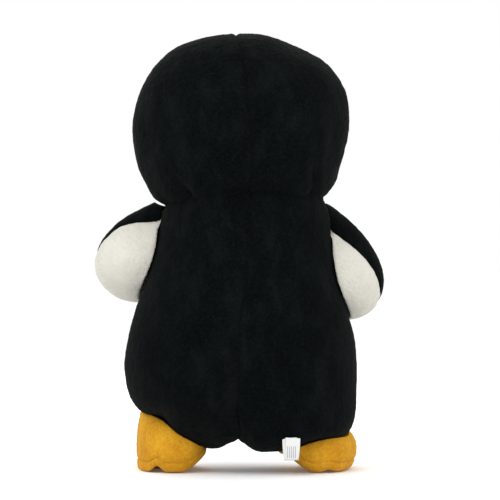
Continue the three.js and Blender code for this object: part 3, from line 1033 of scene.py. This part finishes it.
def foot_pieces(name):
    """A top and a sole around one filling, sewn along an edge just over the floor."""
    pose = FEET[name]
    spin = math.radians(pose["turn"])
    cos, sin = math.cos(spin), math.sin(spin)
    axes = np.array([[cos, sin, 0], [-sin, cos, 0], [0, 0, 1]])
    at = np.array([pose["x"], -20.0, 0.0])
    seed = 71 if name == "left" else 81
    edge = lambda p: p[:, 2] - 9.5
    form = lambda u, v: foot_point(u, v, pose)
    bm = cut_form(form, 170, 90, [edge])
    local = coordinates(bm)
    from_toe = np.degrees(np.arctan2(local[:, 0] / pose["half"], -local[:, 1] / FOOT["length"]))
    cleft = np.exp(-(((np.abs(from_toe) - 21) / 5) ** 2)) * smoothstep(-local[:, 1], 5, 40)
    height = stuffed(local, seed, 0.9) - crease(edge(local), 1.2, 1.8) - 2.5 * cleft
    shaped = local + vertex_normals(bm) * height[:, None]
    groove_at, groove = pose["cleft"]
    lift_from, lift = pose["lift"]

    def curled(p):
        """Lifts the sole between two toes and towards the other foot."""
        outward = np.abs(p[:, 0])
        rise = groove * np.exp(-(((outward - groove_at) / 5) ** 2))
        rise += lift * (np.maximum(lift_from - outward, 0) / (lift_from - 34)) ** 1.4
        rise *= 1 - smoothstep(p[:, 2], 4, 34)
        return np.column_stack([p[:, :2], p[:, 2] + rise])

    set_coordinates(bm, pressed(curled(on_floor(at + shaped @ axes)), torso_field, 1.2, down=1.0))

    def panel(p):
        return np.where(edge(p) > 0, "top", "sole")

    for side, part in panels(bm, local, panel).items():
        obj = piece(f"foot_{name}_{side}_cloth", part, YELLOW)
        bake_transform(obj)
        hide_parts(f"foot_{name}_{side}")

    def settle(p):
        """The filling keeps to the outer part of the foot, which is the thicker one."""
        outward = p[:, 0] * math.copysign(1, pose["x"])
        kept = p * np.column_stack([np.where(outward < 0, 0.55, 1.0), np.ones((len(p), 2))])
        return pressed(curled(on_floor(at + kept @ axes, 5.0)), torso_field, 6, down=1.0)

    core = filling(f"foot_{name}_stuffing", form, lambda p: 5.0, settle, 56, 32)
    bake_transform(core)


# ---- care label ---------------------------------------------------------------------------------
def label_piece():
    """A satin ribbon folded at its low edge, with both ends sewn into the seam."""
    low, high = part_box("care_label")
    width = (high[0] - low[0]) / MM
    length = (high[2] - low[2]) / MM
    x = ((low[0] + high[0]) / 2 - CENTRE[0]) / MM
    top = LABEL_TOP
    y = 40.0
    while torso_field(np.array([[x, y, top]]))[0] < 0.8:
        y += 0.5
    columns, rows = 14, 46
    bm = bmesh.new()
    grid = []
    for j in range(rows + 1):
        t = j / rows
        down = length * (1 - abs(1 - 2 * t))
        side = math.cos(math.pi * t)
        for i in range(columns + 1):
            s = i / columns - 0.5
            curl = 1.2 * math.sin(math.pi * down / length * 0.9) - 1.6 * s * s * down / length
            grid.append(bm.verts.new((s * width - 1.5 * side, 0.5 * side + curl, s * 0.8 * side - down)))
    for j in range(rows):
        for i in range(columns):
            a = j * (columns + 1) + i
            bm.faces.new((grid[a], grid[a + 1], grid[a + columns + 2], grid[a + columns + 1]))
    bm.normal_update()
    bm.transform(Matrix.Translation((x, y, top)))
    obj = piece("care_label_ribbon", bm, printed_satin("printed satin"), thickness=0.25)
    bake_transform(obj)
    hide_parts("care_label")


# ---- light, floor and camera --------------------------------------------------------------------
def studio():
    """An even white surround, a pale floor and three soft lights."""
    world = bpy.data.worlds.new("studio")
    world.use_nodes = True
    world.node_tree.nodes["Background"].inputs["Color"].default_value = (1, 1, 1, 1)
    world.node_tree.nodes["Background"].inputs["Strength"].default_value = 1.0
    bpy.context.scene.world = world
    bpy.context.scene.view_settings.view_transform = "Standard"

    bm = bmesh.new()
    bmesh.ops.create_grid(bm, x_segments=8, y_segments=8, size=30)
    mesh = bpy.data.meshes.new("floor")
    bm.to_mesh(mesh)
    floor = bpy.data.objects.new("floor", mesh)
    bpy.context.scene.collection.objects.link(floor)
    material, tree, shader = new_material("pale floor")
    where = add_node(tree, "ShaderNodeTexCoord").outputs["Object"]
    mottle = noise_node(tree, where, 3, 2.0, 0.5)
    tone = ramp(tree, mottle, [(0.3, (0.95, 0.95, 0.95)), (0.7, (0.97, 0.97, 0.97))])
    tree.links.new(tone, shader.inputs["Base Color"])
    shader.inputs["Roughness"].default_value = 0.9
    shader.inputs["Emission Color"].default_value = (1, 1, 1, 1)
    shader.inputs["Emission Strength"].default_value = 0.05
    mesh.materials.append(material)

    def area_light(name, place, size, power):
        light = bpy.data.lights.new(name, "AREA")
        light.shape = "DISK"
        light.size = size
        light.energy = power
        obj = bpy.data.objects.new(name, light)
        obj.location = place
        aim = Vector((0, 0, 0.2)) - Vector(place)
        obj.rotation_euler = aim.to_track_quat("-Z", "Y").to_euler()
        bpy.context.scene.collection.objects.link(obj)

    area_light("key", (0.9, 1.3, 1.6), 1.2, 16)
    area_light("fill", (-1.4, 1.2, 0.9), 1.4, 7)
    area_light("front", (0.4, -1.6, 1.3), 1.6, 12)


def camera():
    """Straight behind the penguin, level with its middle, through a long lens."""
    away = 2.4
    across = 0.4575
    lens = bpy.data.cameras.new("camera")
    lens.sensor_width = 36
    lens.lens = 36 * away / across
    obj = bpy.data.objects.new("camera", lens)
    target = Vector(CENTRE) + Vector((-0.0082, 0, 0.202))
    obj.location = target + Vector((0, away, 0))
    obj.rotation_euler = (math.pi / 2, 0, math.pi)
    bpy.context.scene.collection.objects.link(obj)
    bpy.context.scene.camera = obj


camera()
studio()
head_panels()
torso_panels()
body_fillings()
eye_pieces()
beak_pieces()
for side_name in ("left", "right"):
    flipper_pieces(side_name)
    foot_pieces(side_name)
label_piece()
